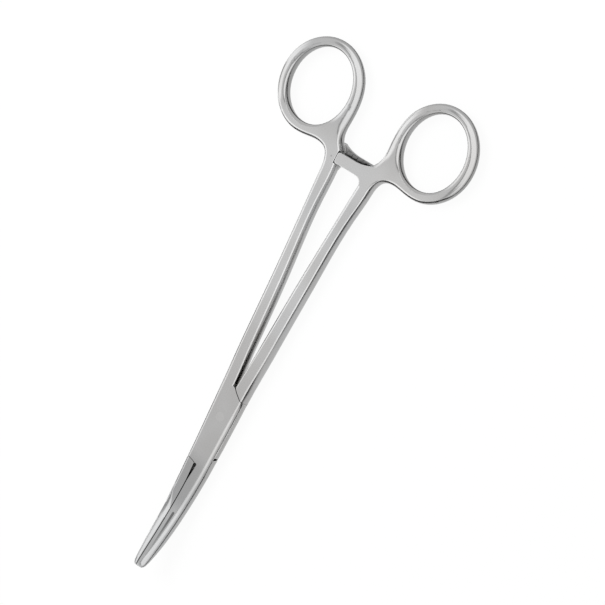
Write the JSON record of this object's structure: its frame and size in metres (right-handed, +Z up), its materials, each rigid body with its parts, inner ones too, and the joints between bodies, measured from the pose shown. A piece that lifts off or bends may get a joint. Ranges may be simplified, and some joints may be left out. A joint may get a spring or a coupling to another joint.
{
  "type": "curved hemostat forceps",
  "caption": "Curved box-lock hemostat forceps with finger rings, an interlocking ratchet and serrated jaws, shown closed.",
  "frame": {"origin": "on the pivot pin's axis, in the underside of the box lock, on which the forceps lies flat", "axes": "+X toward the jaw tips, +Y toward the through half's finger ring, +Z up, the way the jaws curve"},
  "size_m": [0.1803, 0.0736, 0.0113],
  "materials": {
    "box_half_steel": "satin stainless steel with polished edge bevels",
    "through_half_steel": "satin stainless steel with polished edge bevels",
    "pin_steel": "satin stainless steel, ground flush with the box"
  },
  "bodies": {
    "box_body": {"box_half": "box_half_steel", "pivot_pin": "pin_steel"},
    "through_body": {"through_half": "through_half_steel"}
  },
  "joints": [
    {"name": "box_lock", "type": "hinge", "parent": "box_body", "child": "through_body", "pos_m": [0, 0, 0.0031], "axis": [0, 0, -1], "range_deg": [0, 38]}
  ]
}
